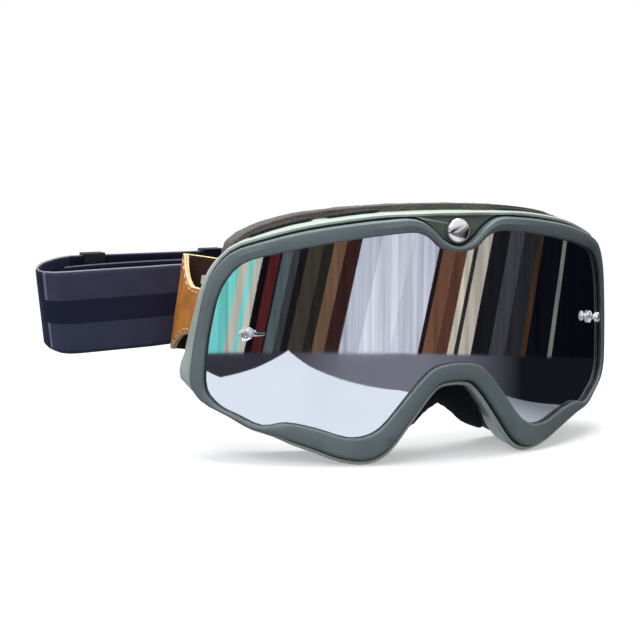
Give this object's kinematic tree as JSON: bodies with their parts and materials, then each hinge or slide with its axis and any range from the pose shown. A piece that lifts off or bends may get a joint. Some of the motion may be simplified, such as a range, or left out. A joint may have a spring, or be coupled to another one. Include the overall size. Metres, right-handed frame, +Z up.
{
  "type": "motorcycle goggles",
  "caption": "Motorcycle goggles: wrapped mirror lens in a two-part frame, face foam, leather strap loops and an adjustable elastic strap.",
  "frame": {"origin": "middle of the strap's inner face, on the goggles' centre plane, where the strap bears on the back of a helmet", "axes": "+Z up, -Y the way the goggles look, +X to the right as seen by someone facing the goggles; the longest extent is along X"},
  "size_m": [0.2366, 0.1036, 0.097],
  "materials": {
    "sage_plastic": "satin paint on a flexible moulded frame",
    "slate_plastic": "matte",
    "lens_mirror": "silver mirror coating",
    "black_rubber": "matte",
    "clear_plastic": "clear",
    "chrome_metal": "polished",
    "steel": "satin",
    "brown_foam": "open-cell foam",
    "dark_foam": "open-cell foam",
    "fleece": "brushed fleece",
    "tan_leather": "full-grain, pale cut edges",
    "brown_leather": "flesh side",
    "striped_webbing": "woven elastic with a darker middle stripe",
    "dark_webbing": "woven elastic",
    "slider_plastic": "moulded"
  },
  "bodies": {
    "frame": {"frame_body": "sage_plastic", "front_bezel": "slate_plastic", "lens": "lens_mirror", "lens_seal": "black_rubber", "tear_off_post_left": "clear_plastic", "tear_off_post_right": "clear_plastic", "nose_rivet": "chrome_metal", "foam_base": "dark_foam", "foam_core": "brown_foam", "foam_fleece": "fleece", "nose_foam": "dark_foam", "vent_filter_right_inner": "dark_foam", "vent_filter_right_outer": "dark_foam", "vent_filter_left_inner": "dark_foam", "vent_filter_left_outer": "dark_foam", "strap_bar_left": "steel", "strap_bar_right": "steel", "strap_fold": "striped_webbing", "strap_rear": "dark_webbing"},
    "left_loop": {"leather_outer_left": "tan_leather", "leather_lining_left": "brown_leather", "strap_front": "striped_webbing", "strap_tail": "dark_webbing"},
    "right_loop": {"leather_outer_right": "tan_leather", "leather_lining_right": "brown_leather", "strap_end_right": "dark_webbing"},
    "fold_slider": {"slider_fold": "slider_plastic"},
    "rear_slider": {"slider_rear": "slider_plastic"}
  },
  "joints": [
    {"name": "left_loop_swing", "type": "hinge", "parent": "frame", "child": "left_loop", "pos_m": [-0.0805, -0.03991, -0.0055], "axis": [0.1513, 0, 0.9885], "range_deg": [-5, 35]},
    {"name": "right_loop_swing", "type": "hinge", "parent": "frame", "child": "right_loop", "pos_m": [0.0805, -0.03991, -0.0055], "axis": [-0.1513, 0, 0.9885], "range_deg": [-35, 5]},
    {"name": "fold_slider_slide", "type": "slide", "parent": "frame", "child": "fold_slider", "axis": [0.9943, 0.1064, 0], "range_m": [-0.003, 0.03]},
    {"name": "rear_slider_slide", "type": "slide", "parent": "frame", "child": "rear_slider", "axis": [0.9943, 0.1064, 0], "range_m": [-0.01, 0.045]}
  ]
}
